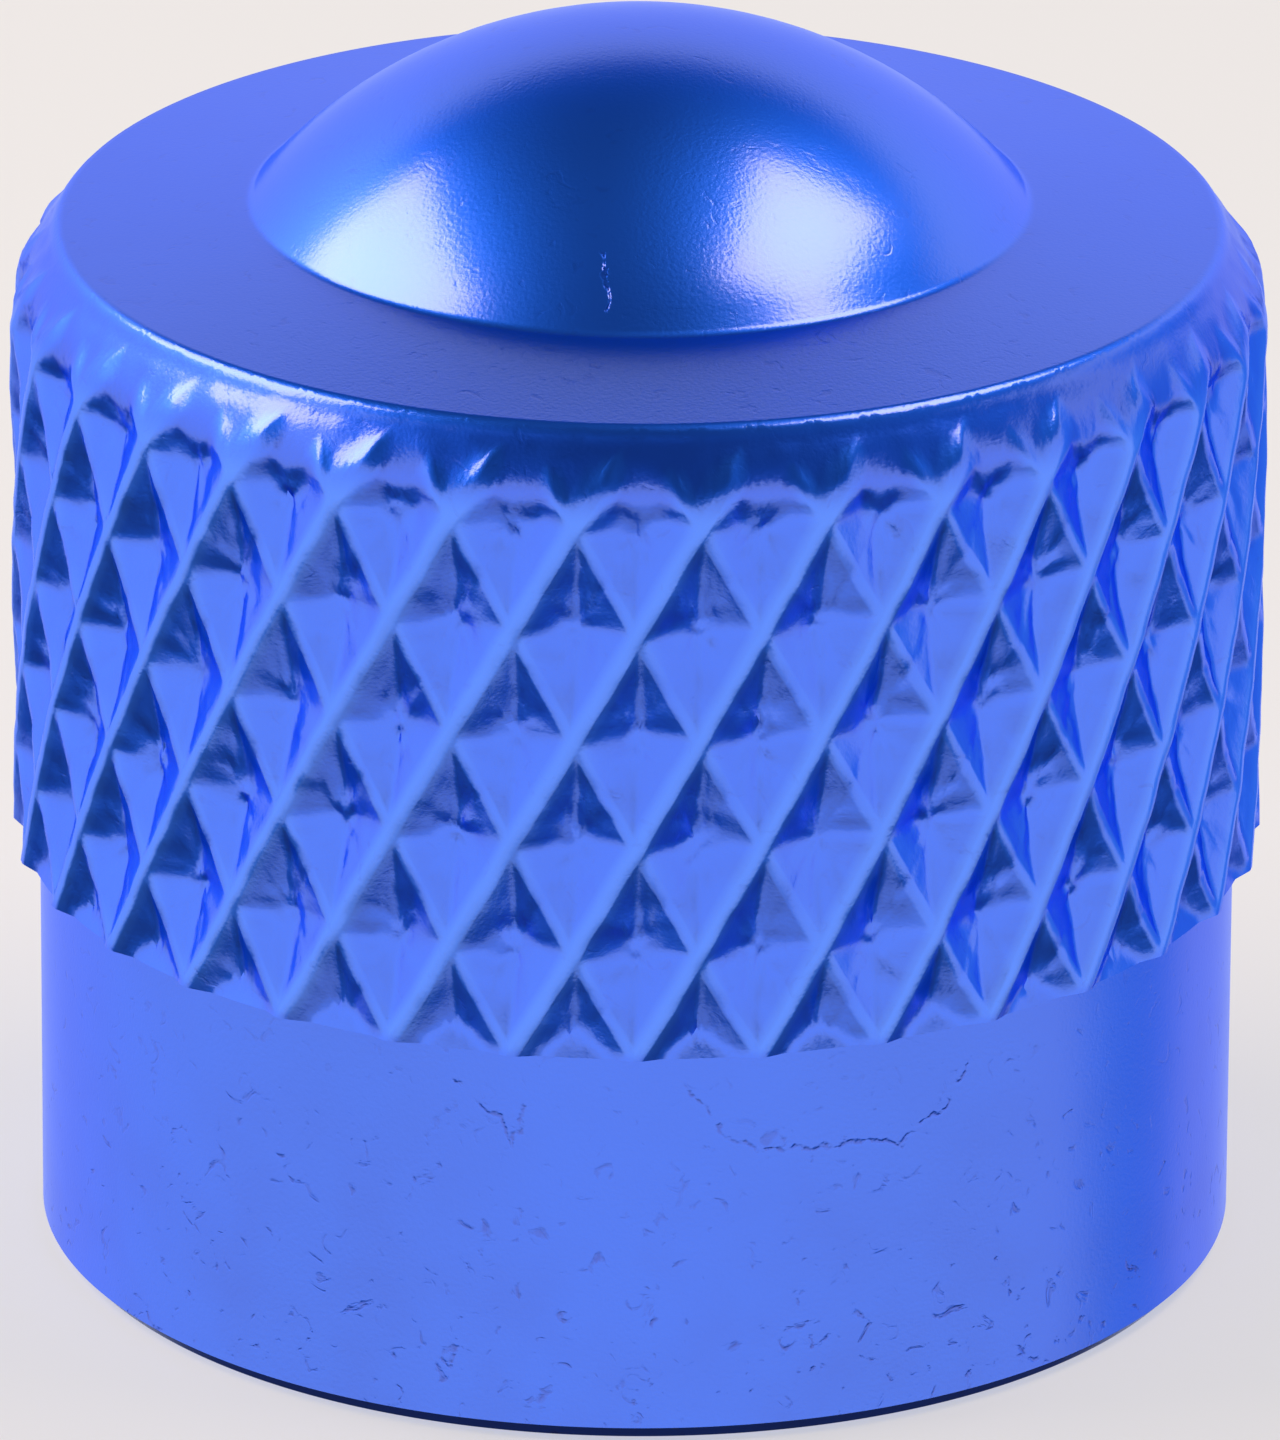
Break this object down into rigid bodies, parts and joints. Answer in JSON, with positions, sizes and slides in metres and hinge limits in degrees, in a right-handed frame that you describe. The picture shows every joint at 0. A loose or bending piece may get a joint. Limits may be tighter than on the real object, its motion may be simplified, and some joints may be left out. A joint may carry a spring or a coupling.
{
  "type": "tyre valve cap",
  "caption": "Round metal dust cap for a tyre valve, with a diamond knurl, a plain skirt, a low dome on top and a rubber sealing washer inside.",
  "frame": {"origin": "centre of the open rim that the cap stands on", "axes": "+Z along the cap's axis, from the open rim up to the dome; X and Y are equal round the axis"},
  "size_m": [0.012, 0.012, 0.0121],
  "materials": {
    "cap_body": "satin",
    "sealing_washer": "matte"
  },
  "bodies": {
    "root": {"cap_body": "cap_body", "sealing_washer": "sealing_washer"}
  },
  "joints": []
}
